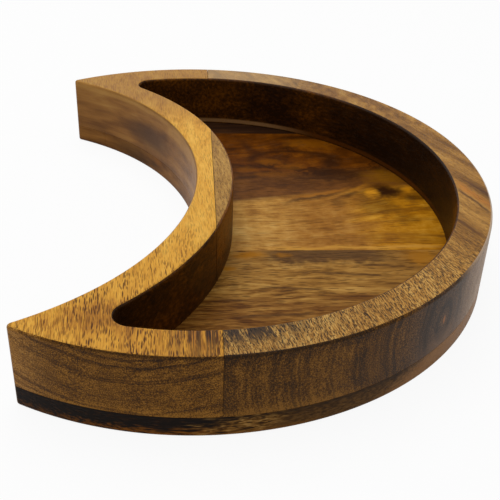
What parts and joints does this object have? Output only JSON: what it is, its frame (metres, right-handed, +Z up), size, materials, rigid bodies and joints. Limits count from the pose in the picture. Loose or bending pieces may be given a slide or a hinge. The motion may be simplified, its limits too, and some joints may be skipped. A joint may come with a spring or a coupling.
{
  "type": "crescent moon tray",
  "caption": "Wooden tray shaped as a crescent moon, with upright walls round a flat floor, glued up from boards, for holding small things.",
  "frame": {"origin": "under the middle of the tray's width and length, on the surface that it stands on", "axes": "+Z up out of the tray, +X from the tips towards the round back, +Y along the line from tip to tip"},
  "size_m": [0.2264, 0.3, 0.041],
  "materials": {
    "tip_board_wood": "oiled golden-brown hardwood, satin",
    "outer_arc_wood": "oiled tan-brown hardwood with dark ticks, satin",
    "inner_arc_wood": "oiled grey-tan hardwood, satin",
    "base_front_wood": "oiled golden-brown hardwood, satin",
    "base_middle_wood": "oiled orange-brown figured hardwood, satin",
    "base_rear_wood": "oiled dark heartwood, satin"
  },
  "bodies": {
    "root": {"tip_board": "tip_board_wood", "outer_arc_board": "outer_arc_wood", "inner_arc_segment": "inner_arc_wood", "base_front_board": "base_front_wood", "base_middle_board": "base_middle_wood", "base_rear_board": "base_rear_wood"}
  },
  "joints": []
}
